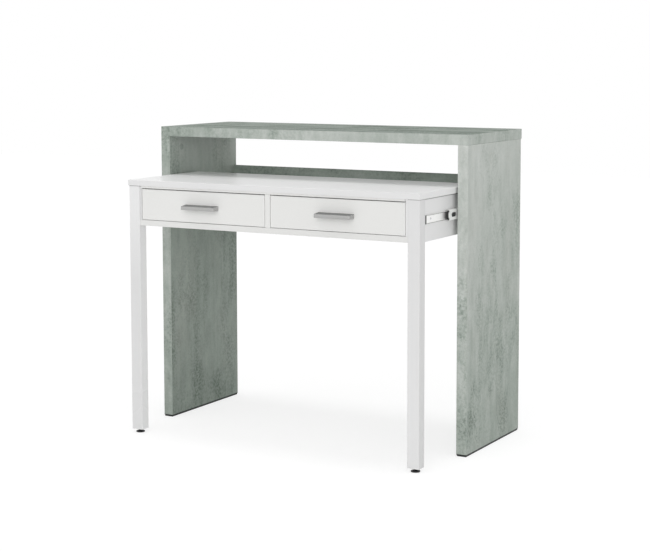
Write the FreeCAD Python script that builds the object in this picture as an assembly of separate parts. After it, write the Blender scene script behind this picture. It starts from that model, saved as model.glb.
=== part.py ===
# Extendable console desk.
# A console of two side panels under a top panel carries a desk with two front legs and two
# drawers. The desk draws out of the console on a pair of three-part ball-bearing slides.
# Millimetres, X to the right, Y to the back, Z up, modelled with the desk partly drawn out.
import FreeCAD
import Part
import math
import os

from FreeCAD import Vector

# Console
console_width = 985.0
console_depth = 360.0
console_height = 862.0
side_thickness = 30.0
top_thickness = 28.0
top_rear_overhang = 5.0
strip_height = 4.0
strip_inset = 1.5
rear_rail_thickness = 12.0
rear_rail_height = 110.0
rear_rail_rise = 5.5  # top of the rail above the desktop
panel_ease = 0.6  # flat on the edges of the coated boards

# Desk
desktop_height = 722.5
desktop_thickness = 16.0
desktop_side_gap = 6.0
desktop_rear_gap = 3.0  # to the rear rail, with the desk pushed in
desktop_front_proud = 5.0  # in front of the console, with the desk pushed in
desktop_round = 1.5
rest_pull = 207.0  # how far the desk is drawn out as modelled
leg_width = 34.5
leg_depth = 31.5
leg_side_setback = 1.5
leg_front_setback = 3.5
leg_floor_gap = 10.5
leg_round = 1.5
carcass_height = 112.0
apron_lap = 7.0  # how far the apron laps over the inner face of its leg
apron_rear_setback = 2.0
rebate_depth = 7.0
bottom_thickness = 16.0
back_thickness = 16.0
divider_thickness = 16.0
upper_rail_height = 6.5
upper_rail_depth = 40.0
face_recess = 3.0  # rails and drawer fronts behind the fronts of the legs

# Drawers
front_side_gap = 1.2
front_foot_gap = 1.25
front_head_gap = 2.5
front_thickness = 16.0
box_board = 12.0
box_floor_gap = 6.0
box_head_gap = 14.0
box_rear_gap = 19.0
drawer_bottom_thickness = 4.0
groove_depth = 5.0
groove_lift = 8.0
groove_slack = 0.2
runner_thickness = 12.7
runner_height = 27.0
runner_wall = 1.2
runner_slack = 0.3
channel_depth = 9.0
channel_lip = 2.2
rail_height = 16.0
rail_setback = 1.4  # from the web of the channel to the brims of the rail
runner_front_gap = 4.0
runner_rear_gap = 31.5

# Handles
handle_length = 107.0
handle_height = 9.5
handle_depth = 26.0
handle_slope = 3.0  # rise of the top face towards the drawer
handle_drop = 1.8  # below the middle of the drawer front
handle_wall = 3.0
handle_spacing = 96.0
handle_boss = 14.0
handle_round = 2.5
handle_screw = 4.0
handle_screw_bite = 12.0
handle_screw_head = 8.0
handle_screw_head_height = 2.5

# Telescopic slides
slide_thickness = 12.7
slide_height = 35.3
slide_wall = 1.2
slide_bend = 2.0
slide_rise = 2.0  # centre line above the middle of the apron
slide_leg_gap = 3.0
slide_rail_gap = 10.0
flange_gap = 2.2  # between the flanges of nested members
web_gap = 1.2  # between the webs of the outer and middle members
race_lip = 0.6
race_slack = 0.12
ball_diameter = 3.2
balls_per_row = 4
ball_sides = 8
ball_bands = 4
cage_wall = 0.6
cage_flange = 0.8
cage_margin = 3.0
window_slack = 0.1
middle_front_setback = 25.0
middle_rear_setback = 8.0
nose_length = 4.0  # of the middle member's web, held in the stop
nose_height = 9.0
nose_root = 17.0
window_setback = 15.0  # in the middle member's web, over the stop's tongue
window_length = 28.0
window_width = 12.0
stop_length = 9.0
stop_height = 20.0
stop_flare = 26.0
stop_slack = 0.4
tongue_length = 45.0
tongue_height = 14.0
screw_head = 6.6
screw_shank = 3.4
screw_length = 14.0
screw_setback = 37.0
slot_setback = 64.0
slot_length = 10.0
slot_width = 4.5

# Furniture fittings
fastener_sides = 12  # small fasteners and their holes are few-sided bars
cam_diameter = 15.0
cam_depth = 13.0
cam_drop = 34.0
cam_bolt = 6.0
cam_bolt_depth = 8.0
cam_bolt_bite = 11.0
cam_bolt_slack = 1.0
cam_clearance = 0.3
cam_end_setback = 60.0
cam_slot_width = 1.6
cam_slot_length = 9.0
cam_slot_depth = 2.5
cap_diameter = 18.0
cap_height = 1.0
cap_taper = 0.5
dowel_diameter = 6.0
dowel_length = 28.0
dowel_spare = 1.0
dowel_edge = 25.0

# Levelling feet
pad_diameter = 25.0
pad_height = 5.0
pad_ease = 0.8
pad_collar = 14.0
pad_collar_height = 1.5
stem_diameter = 8.0
stem_engagement = 18.0
insert_diameter = 12.0
insert_length = 15.0
thread_slack = 0.05

past = 1.0  # how far a cutting shape runs past the face that it opens

# Console, worked out
inner_half = console_width / 2 - side_thickness
side_depth = console_depth - top_rear_overhang
top_underside = console_height - top_thickness
rear_rail_front = side_depth - rear_rail_thickness
rear_rail_top = desktop_height + rear_rail_rise
rear_rail_bottom = rear_rail_top - rear_rail_height

# Desk, worked out at its modelled place
desktop_half = inner_half - desktop_side_gap
desktop_underside = desktop_height - desktop_thickness
desk_front = -desktop_front_proud - rest_pull
desk_rear = rear_rail_front - desktop_rear_gap - rest_pull
apron_outer = inner_half - slide_thickness
apron_rear = desk_rear - apron_rear_setback
leg_outer = desktop_half - leg_side_setback
leg_inner = leg_outer - leg_width
apron_inner = leg_inner - apron_lap
leg_front = desk_front + leg_front_setback
leg_rear = leg_front + leg_depth
carcass_bottom = desktop_underside - carcass_height
bottom_top = carcass_bottom + bottom_thickness
back_front = apron_rear - back_thickness
face_front = leg_front + face_recess
upper_rail_underside = desktop_underside - upper_rail_height

# Drawer on the right, worked out
opening_inner = divider_thickness / 2
drawer_middle = (opening_inner + apron_inner) / 2
front_rear = face_front + front_thickness
front_bottom = bottom_top + front_foot_gap
front_top = upper_rail_underside - front_head_gap
box_left = opening_inner + runner_thickness
box_right = apron_inner - runner_thickness
box_bottom = bottom_top + box_floor_gap
box_top = upper_rail_underside - box_head_gap
box_rear = back_front - box_rear_gap
floor_bottom = box_bottom + groove_lift
floor_top = floor_bottom + drawer_bottom_thickness
runner_front = front_rear + runner_front_gap
runner_rear = box_rear - runner_rear_gap
runner_middle = (box_bottom + box_top) / 2
handle_middle = (front_bottom + front_top) / 2 - handle_drop
handle_front = face_front - handle_depth

# Slides, worked out with the desk pushed in
slide_front = leg_rear + rest_pull + slide_leg_gap
slide_rear = rear_rail_front - slide_rail_gap
slide_travel = slide_rear - slide_front
slide_middle_z = carcass_bottom + carcass_height / 2 + slide_rise
middle_front = slide_front + middle_front_setback
middle_rear = slide_rear - middle_rear_setback
cage_travel = slide_travel / 4
outer_cage_front = slide_front + cage_travel + cage_margin
outer_cage_rear = middle_rear - cage_travel - cage_margin
inner_cage_front = middle_front + cage_travel + cage_margin + tongue_length
inner_cage_rear = slide_rear - cage_travel - cage_margin

# Slide sections, worked out from the panel towards the apron
ball_radius = ball_diameter / 2
race_radius = ball_radius + race_slack
race_half = math.sqrt(race_radius**2 - (flange_gap / 2) ** 2)
window_half = ball_radius + window_slack
middle_height = slide_height - 2 * (slide_wall + flange_gap)
inner_height = middle_height - 2 * (slide_wall + flange_gap)
outer_row = slide_height / 2 - slide_wall - flange_gap / 2
inner_row = middle_height / 2 - slide_wall - flange_gap / 2
outer_web_x = inner_half
middle_web_x = outer_web_x - slide_wall - web_gap
inner_web_x = apron_outer
outer_ball_x = middle_web_x - slide_bend - race_half
inner_ball_x = inner_web_x + slide_bend + race_half + race_lip
outer_tip_x = outer_ball_x - race_half - race_lip
middle_tip_x = inner_ball_x - race_half - race_lip
inner_tip_x = inner_ball_x + race_half + race_lip
outer_cage_x = outer_web_x - slide_wall - (web_gap - cage_wall) / 2
inner_cage_x = middle_web_x - slide_wall - cage_wall
inner_cage_tip_x = inner_ball_x - window_half - race_lip / 2

# Origin: on the floor, at the middle of the whole footprint
origin = Vector(0, (handle_front + console_depth) / 2, 0)


def block(x_range, y_range, z_range):
    """A rectangular solid between pairs of limits, given in either order."""
    low = Vector(min(x_range), min(y_range), min(z_range))
    high = Vector(max(x_range), max(y_range), max(z_range))
    size = high - low
    return Part.makeBox(size.x, size.y, size.z, low)


def rod(diameter, start, end):
    """A round bar between two points."""
    run = end - start
    return Part.makeCylinder(diameter / 2, run.Length, start, run)


def across(along):
    """Two directions square to an axis, the same whichever way it points."""
    if abs(along.x) > max(abs(along.y), abs(along.z)):
        return Vector(0, 1, 0), Vector(0, 0, 1)
    if abs(along.y) > abs(along.z):
        return Vector(1, 0, 0), Vector(0, 0, 1)
    return Vector(1, 0, 0), Vector(0, 1, 0)


def few_sided_ring(centre, diameter, along):
    """A closed outline round an axis, for small fasteners."""
    first, second = across(along)
    corners = []
    for side in range(fastener_sides):
        turn = 2 * math.pi * side / fastener_sides
        offset = first * math.cos(turn) + second * math.sin(turn)
        corners.append(centre + offset * (diameter / 2))
    return Part.makePolygon(corners + corners[:1])


def peg(diameter, start, end):
    """A few-sided bar between two points."""
    run = end - start
    return Part.Face(few_sided_ring(start, diameter, run)).extrude(run)


def tapered_peg(start_diameter, end_diameter, start, end):
    """A few-sided bar that narrows or widens along its length."""
    run = end - start
    rings = [few_sided_ring(start, start_diameter, run), few_sided_ring(end, end_diameter, run)]
    return Part.makeLoft(rings, True, True)


def straight_edges(solid, along, **places):
    """The straight edges parallel to an axis, at the given x, y or z values."""
    found = []
    for edge in solid.Edges:
        if not isinstance(edge.Curve, Part.Line):
            continue
        start = edge.firstVertex().Point
        run = edge.lastVertex().Point - start
        parallel = abs(abs(run.dot(along)) - run.Length) < 1e-6
        placed = all(abs(getattr(start, axis) - value) < 1e-6 for axis, value in places.items())
        if parallel and placed:
            found.append(edge)
    return found


def carve(solid, tools):
    """The solid with every tool cut out of it."""
    for tool in tools:
        solid = solid.cut(tool)
    return solid.Solids[0]


def join(pieces):
    """One solid from pieces that touch or overlap."""
    solid = pieces[0]
    for piece in pieces[1:]:
        solid = solid.fuse(piece)
    return solid.removeSplitter().Solids[0]


def mirrored(shape, x=0.0):
    """The other-handed copy, across a plane that faces along X."""
    return shape.mirror(Vector(x, 0, 0), Vector(1, 0, 0))


def both_sides(shapes):
    """The shapes and their copies on the left."""
    return shapes + [mirrored(shape) for shape in shapes]


def eased(solid):
    """A coated board with a small flat along every edge."""
    return solid.makeChamfer(panel_ease, solid.Edges)


def prism_along_x(points, x_range):
    """An outline in Y and Z, drawn out along X."""
    corners = [Vector(min(x_range), y, z) for y, z in points]
    outline = Part.makePolygon(corners + corners[:1])
    return Part.Face(outline).extrude(Vector(max(x_range) - min(x_range), 0, 0))


# Cam fittings and dowels


def cam_places(front, rear):
    """Where the two cams stand along a panel."""
    return [front + cam_end_setback, rear - cam_end_setback]


def cam_lock(face_x, y, seam):
    """The cam in the inner face of an upright panel, with its screwdriver slot."""
    z = seam - cam_drop
    cam = peg(cam_diameter, Vector(face_x, y, z), Vector(face_x + cam_depth, y, z))
    slot = block(
        (face_x - past, face_x + cam_slot_depth),
        (y - cam_slot_length / 2, y + cam_slot_length / 2),
        (z - cam_slot_width / 2, z + cam_slot_width / 2),
    )
    return carve(cam, [slot])


def cam_bolt_rod(face_x, y, seam):
    """The bolt that stands in the board above and is drawn down by the cam."""
    x = face_x + cam_bolt_depth
    foot = seam - cam_drop + cam_diameter / 2 + cam_clearance
    return peg(cam_bolt, Vector(x, y, foot), Vector(x, y, seam + cam_bolt_bite))


def cam_bores(face_x, y, seam):
    """The round pocket and the bolt's way into it."""
    x = face_x + cam_bolt_depth
    z = seam - cam_drop
    pocket = peg(cam_diameter, Vector(face_x - past, y, z), Vector(face_x + cam_depth, y, z))
    way = peg(cam_bolt + cam_bolt_slack, Vector(x, y, z), Vector(x, y, seam + past))
    return [pocket, way]


def cam_socket(face_x, y, seam):
    """The hole for the bolt's thread in the board above."""
    x = face_x + cam_bolt_depth
    return peg(cam_bolt, Vector(x, y, seam - past), Vector(x, y, seam + cam_bolt_bite))


def cam_cap(face_x, y, seam):
    """The thin cover over a cam, in the colour of the panel."""
    z = seam - cam_drop
    seat = Vector(face_x, y, z)
    return tapered_peg(cap_diameter, cap_diameter - 2 * cap_taper, seat, seat - Vector(cap_height, 0, 0))


def dowel(middle, along, spare=0.0):
    """A dowel across a joint, or its hole when it has spare length."""
    reach = along * (dowel_length / 2 + spare)
    return peg(dowel_diameter, middle - reach, middle + reach)


def rail_dowel_places():
    """Two places in the right-hand end of the rear rail."""
    y = rear_rail_front + rear_rail_thickness / 2
    heights = (rear_rail_bottom + dowel_edge, rear_rail_top - dowel_edge)
    return [Vector(inner_half, y, z) for z in heights]


def leg_dowel_places():
    """Two places between the right leg and its apron."""
    x = (leg_inner + apron_outer) / 2
    heights = (carcass_bottom + dowel_edge, desktop_underside - dowel_edge)
    return [Vector(x, leg_rear, z) for z in heights]


# Console


def console_cams():
    """Each cam of the right-hand panel: its face, its place along the panel and its seam."""
    return [(inner_half, y, top_underside) for y in cam_places(0, side_depth)]


def console_top():
    panel = block(
        (-console_width / 2, console_width / 2),
        (0, console_depth),
        (top_underside, console_height),
    )
    return carve(eased(panel), both_sides([cam_socket(*cam) for cam in console_cams()]))


def side_panel():
    panel = block((inner_half, console_width / 2), (0, side_depth), (strip_height, top_underside))
    tools = []
    for cam in console_cams():
        tools += cam_bores(*cam)
    for place in rail_dowel_places():
        tools.append(dowel(place, Vector(1, 0, 0), dowel_spare))
    for y in slide_screw_places(slide_front, slide_rear):
        tools.append(screw_pilot(Vector(inner_half, y, slide_middle_z), Vector(1, 0, 0)))
    return carve(eased(panel), tools)


def base_strip():
    return block(
        (inner_half + strip_inset, console_width / 2 - strip_inset),
        (strip_inset, side_depth - strip_inset),
        (0, strip_height),
    )


def rear_rail():
    board = block(
        (-inner_half, inner_half),
        (rear_rail_front, side_depth),
        (rear_rail_bottom, rear_rail_top),
    )
    holes = [dowel(place, Vector(1, 0, 0), dowel_spare) for place in rail_dowel_places()]
    return carve(board, both_sides(holes))


# Telescopic slides


def slide_channel(web_x, tip_x, height, wall, flange, y_range):
    """A bent strip: a web with a flange along each edge, turned towards tip_x."""
    turn = math.copysign(1.0, tip_x - web_x)
    low = slide_middle_z - height / 2
    high = slide_middle_z + height / 2
    outside = block((web_x, tip_x), y_range, (low, high))
    outside = outside.makeFillet(slide_bend, straight_edges(outside, Vector(0, 1, 0), x=web_x))
    hollow_x = web_x + turn * wall
    hollow = block(
        (hollow_x, tip_x + turn * past),
        (min(y_range) - past, max(y_range) + past),
        (low + flange, high - flange),
    )
    bends = straight_edges(hollow, Vector(0, 1, 0), x=hollow_x)
    hollow = hollow.makeFillet(slide_bend - max(wall, flange), bends)
    return carve(outside, [hollow])


def races(x, row, y_range):
    """The two grooves that the balls of one cage run in."""
    front = min(y_range) - past
    rear = max(y_range) + past
    heights = (slide_middle_z - row, slide_middle_z + row)
    return [rod(2 * race_radius, Vector(x, front, z), Vector(x, rear, z)) for z in heights]


def slide_screw_places(front, rear):
    """Where a slide member is screwed down along its length."""
    return [front + screw_setback, rear - screw_setback]


def slide_screw(place, into):
    """A countersunk screw whose head lies flush in a slide's web. Place is behind the web."""
    head = tapered_peg(screw_head, screw_shank, place - into * slide_wall, place)
    shank = peg(screw_shank, place, place + into * screw_length)
    return join([head, shank])


def screw_pilot(place, into):
    """The hole for a screw's shank in the board behind a slide."""
    return peg(screw_shank, place - into * past, place + into * screw_length)


def web_slot(web_x, front, length, width):
    """An oval hole through a slide's web, along it."""
    reach = Vector(slide_wall + past, 0, 0)
    centres = [Vector(web_x, y, slide_middle_z) for y in (front + width / 2, front + length - width / 2)]
    ends = [peg(width, centre - reach, centre + reach) for centre in centres]
    between = block(
        (web_x - reach.x, web_x + reach.x),
        (centres[0].y, centres[1].y),
        (slide_middle_z - width / 2, slide_middle_z + width / 2),
    )
    return join(ends + [between])


def setting_slots(web_x, rear):
    """Holes in the rear of a slide's web, for setting it before it is screwed down."""
    middles = (rear - slot_setback, rear - 2 * slot_setback)
    return [web_slot(web_x, middle - slot_length / 2, slot_length, slot_width) for middle in middles]


def slide_outer():
    """The member on the side panel."""
    span = (slide_front, slide_rear)
    channel = slide_channel(outer_web_x, outer_tip_x, slide_height, slide_wall, slide_wall, span)
    tools = races(outer_ball_x, outer_row, span) + setting_slots(outer_web_x, span[1])
    for y in slide_screw_places(slide_front, slide_rear):
        tools.append(slide_screw(Vector(outer_web_x, y, slide_middle_z), Vector(1, 0, 0)))
    return carve(channel, tools)


def web_nose(front):
    """The tapered end of the middle member's web, which the stop is clipped on."""
    outline = [
        (front, slide_middle_z - nose_root / 2),
        (front, slide_middle_z + nose_root / 2),
        (front - nose_length, slide_middle_z + nose_height / 2),
        (front - nose_length, slide_middle_z - nose_height / 2),
    ]
    return prism_along_x(outline, (middle_web_x - slide_wall, middle_web_x))


def slide_middle():
    """The member between the other two, which moves half as far as the desk."""
    shift = rest_pull / 2
    span = (middle_front - shift, middle_rear - shift)
    channel = slide_channel(middle_web_x, middle_tip_x, middle_height, slide_wall, slide_wall, span)
    tools = races(outer_ball_x, outer_row, span) + races(inner_ball_x, inner_row, span)
    tools.append(web_slot(middle_web_x, span[0] + window_setback, window_length, window_width))
    return carve(join([channel, web_nose(span[0])]), tools)


def slide_inner():
    """The member on the apron."""
    span = (slide_front - rest_pull, slide_rear - rest_pull)
    channel = slide_channel(inner_web_x, inner_tip_x, inner_height, slide_wall, slide_wall, span)
    tools = races(inner_ball_x, inner_row, span) + setting_slots(inner_web_x, span[1])
    for y in slide_screw_places(*span):
        tools.append(slide_screw(Vector(inner_web_x, y, slide_middle_z), Vector(-1, 0, 0)))
    return carve(channel, tools)


def slide_stop():
    """The flared plastic stop on the front of the middle member, with a tongue behind its web."""
    rear = middle_front - rest_pull / 2
    front = rear - stop_length
    waist = (front + rear) / 2
    near_x = inner_tip_x + stop_slack
    outline = [
        (front, slide_middle_z - stop_height / 2),
        (waist, slide_middle_z - stop_height / 2),
        (rear, slide_middle_z - stop_flare / 2),
        (rear, slide_middle_z + stop_flare / 2),
        (waist, slide_middle_z + stop_height / 2),
        (front, slide_middle_z + stop_height / 2),
    ]
    flare = carve(prism_along_x(outline, (near_x, middle_web_x)), [web_nose(rear)])
    tongue = block(
        (near_x, middle_web_x - slide_wall),
        (waist, rear + tongue_length),
        (slide_middle_z - tongue_height / 2, slide_middle_z + tongue_height / 2),
    )
    return join([flare, tongue])


def ball_places(front, rear):
    """Even places for the balls of one row along a cage."""
    pitch = (rear - front) / balls_per_row
    return [front + pitch * (index + 0.5) for index in range(balls_per_row)]


def ball_cage(web_x, tip_x, row, ball_x, y_range):
    """A bent strip whose flanges hold the balls in square windows."""
    height = 2 * row + cage_flange
    cage = slide_channel(web_x, tip_x, height, cage_wall, cage_flange, y_range)
    windows = []
    for y in ball_places(*y_range):
        windows.append(
            block(
                (ball_x - window_half, ball_x + window_half),
                (y - window_half, y + window_half),
                (slide_middle_z - height, slide_middle_z + height),
            )
        )
    return carve(cage, windows)


def faceted_ball(centre):
    """A small ball with few faces: bands of flats between two poles on the Z axis."""

    def ring_point(band, side):
        polar = math.pi * band / ball_bands
        turn = 2 * math.pi * side / ball_sides
        reach = ball_radius * math.sin(polar)
        rise = ball_radius * math.cos(polar)
        return centre + Vector(reach * math.cos(turn), reach * math.sin(turn), rise)

    faces = []
    for band in range(ball_bands):
        for side in range(ball_sides):
            corners = [ring_point(band, side)]
            if band < ball_bands - 1:
                corners.append(ring_point(band + 1, side))
            corners.append(ring_point(band + 1, side + 1))
            if band > 0:
                corners.append(ring_point(band, side + 1))
            faces.append(Part.Face(Part.makePolygon(corners + corners[:1])))
    ball = Part.Solid(Part.makeShell(faces))
    return ball


def ball_set(ball_x, row, y_range):
    """The upper and lower rows of balls of one cage."""
    balls = []
    for y in ball_places(*y_range):
        for z in (slide_middle_z - row, slide_middle_z + row):
            balls.append(faceted_ball(Vector(ball_x, y, z)))
    return balls


def outer_cage_span():
    shift = rest_pull / 4
    return (outer_cage_front - shift, outer_cage_rear - shift)


def inner_cage_span():
    shift = 3 * rest_pull / 4
    return (inner_cage_front - shift, inner_cage_rear - shift)


# Desk


def desk_cams():
    """Each cam of the right-hand apron: its face, its place along the apron and its seam."""
    return [(apron_inner, y, desktop_underside) for y in cam_places(leg_rear, apron_rear)]


def desktop():
    board = block(
        (-desktop_half, desktop_half),
        (desk_front, desk_rear),
        (desktop_underside, desktop_height),
    )
    rounded = straight_edges(board, Vector(1, 0, 0), z=desktop_height)
    rounded += straight_edges(board, Vector(0, 1, 0), z=desktop_height)
    board = board.makeFillet(desktop_round, rounded)
    return carve(board, both_sides([cam_socket(*cam) for cam in desk_cams()]))


def foot_axis(z):
    """A point on the axis of the right leg's foot."""
    return Vector((leg_inner + leg_outer) / 2, (leg_front + leg_rear) / 2, z)


def leg():
    post = block((leg_inner, leg_outer), (leg_front, leg_rear), (leg_floor_gap, desktop_underside))
    post = post.makeFillet(leg_round, straight_edges(post, Vector(0, 0, 1)))
    insert_top = leg_floor_gap + insert_length
    stem_top = leg_floor_gap + stem_engagement
    tools = [
        peg(insert_diameter, foot_axis(leg_floor_gap - past), foot_axis(insert_top)),
        rod(stem_diameter + 2 * thread_slack, foot_axis(leg_floor_gap), foot_axis(stem_top + past)),
    ]
    tools += [dowel(place, Vector(0, 1, 0), dowel_spare) for place in leg_dowel_places()]
    return carve(post, tools)


def apron():
    """The side board of the desk, notched round its leg and rebated for the other boards."""
    board = block((apron_inner, apron_outer), (leg_rear, apron_rear), (carcass_bottom, desktop_underside))
    lap = block((apron_inner, leg_inner), (face_front, leg_rear), (bottom_top, desktop_underside))
    inside = (apron_inner - past, apron_inner + rebate_depth)
    tools = [
        block(inside, (leg_rear - past, back_front), (carcass_bottom - past, bottom_top)),
        block(inside, (back_front, apron_rear + past), (carcass_bottom - past, desktop_underside + past)),
    ]
    for cam in desk_cams():
        tools += cam_bores(*cam)
    tools += [dowel(place, Vector(0, 1, 0), dowel_spare) for place in leg_dowel_places()]
    for y in slide_screw_places(slide_front - rest_pull, slide_rear - rest_pull):
        tools.append(screw_pilot(Vector(apron_outer, y, slide_middle_z), Vector(-1, 0, 0)))
    return carve(join([board, lap]), tools)


def bottom_board():
    """The board under the drawers: its front edge is the lower rail between the legs."""
    front = block((-leg_inner, leg_inner), (face_front, leg_rear), (carcass_bottom, bottom_top))
    housed = apron_inner + rebate_depth
    rear = block((-housed, housed), (leg_rear, back_front), (carcass_bottom, bottom_top))
    return join([front, rear])


def back_board():
    housed = apron_inner + rebate_depth
    return block((-housed, housed), (back_front, apron_rear), (carcass_bottom, desktop_underside))


def upper_rail():
    """The rail over the drawers, flush with the legs."""
    return block(
        (-apron_inner, apron_inner),
        (leg_front, face_front + upper_rail_depth),
        (upper_rail_underside, desktop_underside),
    )


def divider():
    """The upright between the drawers, notched for the upper rail."""
    notch_rear = face_front + upper_rail_depth
    outline = [
        (face_front, bottom_top),
        (back_front, bottom_top),
        (back_front, desktop_underside),
        (notch_rear, desktop_underside),
        (notch_rear, upper_rail_underside),
        (face_front, upper_rail_underside),
    ]
    return prism_along_x(outline, (-divider_thickness / 2, divider_thickness / 2))


def thread_insert():
    """The threaded sleeve in the bottom of the right leg."""
    sleeve = peg(insert_diameter, foot_axis(leg_floor_gap), foot_axis(leg_floor_gap + insert_length))
    bore = rod(
        stem_diameter + 2 * thread_slack,
        foot_axis(leg_floor_gap - past),
        foot_axis(leg_floor_gap + insert_length + past),
    )
    return carve(sleeve, [bore])


def levelling_foot():
    """A round pad with a many-sided collar, moulded on its screwed stem."""
    rim_z = pad_height - pad_collar_height
    pad = rod(pad_diameter, foot_axis(0), foot_axis(rim_z))
    rims = [edge for edge in pad.Edges if edge.isClosed() and edge.CenterOfMass.z > rim_z / 2]
    pad = pad.makeChamfer(pad_ease, rims)
    collar = peg(pad_collar, foot_axis(pad_ease), foot_axis(pad_height))
    stem = rod(stem_diameter, foot_axis(pad_ease), foot_axis(leg_floor_gap + stem_engagement))
    return join([pad, collar, stem])


# Drawer on the right


def drawer_front():
    board = block(
        (opening_inner + front_side_gap, apron_inner - front_side_gap),
        (face_front, front_rear),
        (front_bottom, front_top),
    )
    groove = block(
        (box_left + box_board - groove_depth, box_right - box_board + groove_depth),
        (front_rear - groove_depth, front_rear + past),
        (floor_bottom, floor_top + groove_slack),
    )
    holes = [
        peg(
            handle_screw,
            Vector(x, face_front - past, handle_middle),
            Vector(x, front_rear + past, handle_middle),
        )
        for x in handle_screw_places()
    ]
    return carve(eased(board), [groove] + holes)


def drawer_side():
    """The right-hand side of the drawer, grooved for the bottom."""
    board = block((box_right - box_board, box_right), (front_rear, box_rear), (box_bottom, box_top))
    inner_face = box_right - box_board
    groove = block(
        (inner_face - past, inner_face + groove_depth),
        (front_rear - past, box_rear + past),
        (floor_bottom, floor_top + groove_slack),
    )
    return carve(board, [groove])


def drawer_back():
    return block(
        (box_left + box_board, box_right - box_board),
        (box_rear - box_board, box_rear),
        (floor_top + groove_slack, box_top),
    )


def drawer_bottom():
    return block(
        (box_left + box_board - groove_depth, box_right - box_board + groove_depth),
        (front_rear - groove_depth, box_rear),
        (floor_bottom, floor_top),
    )


def runner_channel():
    """The channel on the apron, with a lip along each edge of its mouth."""
    web_x = apron_inner
    lip_x = web_x - channel_depth + runner_wall
    reach = runner_height / 2
    span = (runner_front, runner_rear)
    cut_span = (runner_front - past, runner_rear + past)
    outside = block((web_x, web_x - channel_depth), span, (runner_middle - reach, runner_middle + reach))
    hollow_reach = reach - runner_wall
    hollow = block(
        (web_x - runner_wall, lip_x),
        cut_span,
        (runner_middle - hollow_reach, runner_middle + hollow_reach),
    )
    mouth_reach = hollow_reach - channel_lip
    mouth = block(
        (lip_x, web_x - channel_depth - past),
        cut_span,
        (runner_middle - mouth_reach, runner_middle + mouth_reach),
    )
    return carve(outside, [hollow, mouth])


def runner_rail():
    """The hat-shaped rail on the drawer side, whose brims run inside the channel."""
    brim_x = apron_inner - runner_wall - rail_setback
    span = (runner_front, runner_rear)
    reach = rail_height / 2
    brim_reach = runner_height / 2 - runner_wall - runner_slack
    hat = block((box_right, brim_x), span, (runner_middle - reach, runner_middle + reach))
    brims = block(
        (brim_x - runner_wall, brim_x),
        span,
        (runner_middle - brim_reach, runner_middle + brim_reach),
    )
    hollow_reach = reach - runner_wall
    hollow = block(
        (box_right + runner_wall, brim_x + past),
        (runner_front - past, runner_rear + past),
        (runner_middle - hollow_reach, runner_middle + hollow_reach),
    )
    return carve(join([hat, brims]), [hollow])


def runner_pair(piece):
    """The piece beside the apron and its copy beside the divider."""
    return [piece, mirrored(piece, drawer_middle)]


def handle_screw_places():
    return [drawer_middle - handle_spacing / 2, drawer_middle + handle_spacing / 2]


def handle():
    """A pull with a sloping closed top, hollowed from below for the fingers."""
    low = handle_middle - handle_height / 2
    high = handle_middle + handle_height / 2
    outline = [
        (face_front, low),
        (handle_front, low),
        (handle_front, high),
        (face_front, high + handle_slope),
    ]
    ends = (drawer_middle - handle_length / 2, drawer_middle + handle_length / 2)
    pull = prism_along_x(outline, ends)
    rounded = straight_edges(pull, Vector(1, 0, 0), y=handle_front)
    rounded += straight_edges(pull, Vector(0, 0, 1), y=handle_front)
    pull = pull.makeFillet(handle_round, rounded)
    hollow = block(
        (ends[0] + handle_boss, ends[1] - handle_boss),
        (handle_front + handle_wall, face_front + past),
        (low - past, high - handle_wall),
    )
    holes = [
        peg(
            handle_screw,
            Vector(x, face_front - handle_screw_bite, handle_middle),
            Vector(x, face_front + past, handle_middle),
        )
        for x in handle_screw_places()
    ]
    return carve(pull, [hollow] + holes)


def handle_screws():
    """The two screws through the drawer front, with their heads inside the drawer."""
    screws = []
    for x in handle_screw_places():
        head = peg(
            handle_screw_head,
            Vector(x, front_rear, handle_middle),
            Vector(x, front_rear + handle_screw_head_height, handle_middle),
        )
        shank = peg(
            handle_screw,
            Vector(x, face_front - handle_screw_bite, handle_middle),
            Vector(x, front_rear + handle_screw_head_height, handle_middle),
        )
        screws.append(join([head, shank]))
    return screws


# The whole object: each node's name with its solids


def handed_nodes():
    """Pieces that come as a right-hand one and its mirror image on the left."""
    outer_span = outer_cage_span()
    inner_span = inner_cage_span()
    outer_cage = ball_cage(outer_cage_x, outer_tip_x, outer_row, outer_ball_x, outer_span)
    inner_cage = ball_cage(inner_cage_x, inner_cage_tip_x, inner_row, inner_ball_x, inner_span)
    return {
        "side_panel": [side_panel()],
        "base_strip": [base_strip()],
        "slide_outer": [slide_outer()],
        "slide_middle": [slide_middle()],
        "slide_stop": [slide_stop()],
        "slide_inner": [slide_inner()],
        "outer_ball_cage": [outer_cage],
        "outer_balls": ball_set(outer_ball_x, outer_row, outer_span),
        "inner_ball_cage": [inner_cage],
        "inner_balls": ball_set(inner_ball_x, inner_row, inner_span),
        "leg": [leg()],
        "apron": [apron()],
        "levelling_foot": [levelling_foot()],
        "drawer_front": [drawer_front()],
        "drawer_outer_side": [drawer_side()],
        "drawer_inner_side": [mirrored(drawer_side(), drawer_middle)],
        "drawer_back": [drawer_back()],
        "drawer_bottom": [drawer_bottom()],
        "drawer_handle": [handle()],
        "drawer_handle_screws": handle_screws(),
        "drawer_runner_rails": runner_pair(runner_rail()),
    }


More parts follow.
